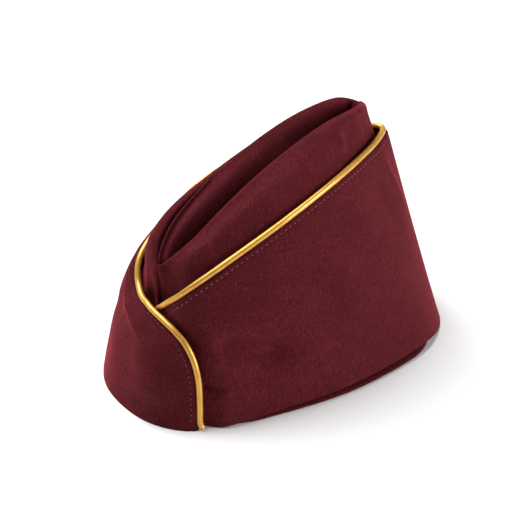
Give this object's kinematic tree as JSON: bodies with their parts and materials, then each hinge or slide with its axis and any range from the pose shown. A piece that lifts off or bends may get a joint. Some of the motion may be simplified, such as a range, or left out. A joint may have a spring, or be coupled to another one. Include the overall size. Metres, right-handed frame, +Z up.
{
  "type": "side cap",
  "caption": "Soft cloth side cap that stands open on its rim, with a crown pleated in along the top, a turned-up curtain lapped over at the front and a corded piping along its edge",
  "frame": {"origin": "middle of the rim's footprint, on the surface that the cap stands on", "axes": "+Z up, the front of the cap towards -Y, the wearer's left towards +X"},
  "size_m": [0.1352, 0.211, 0.1365],
  "materials": {
    "cloth": "matte burgundy wool twill",
    "piping": "satin gold cord"
  },
  "bodies": {
    "root": {"crown_left_panel": "cloth", "crown_right_panel": "cloth", "crown_top_gusset": "cloth", "curtain_left": "cloth", "curtain_right": "cloth", "piping": "piping"}
  },
  "joints": []
}
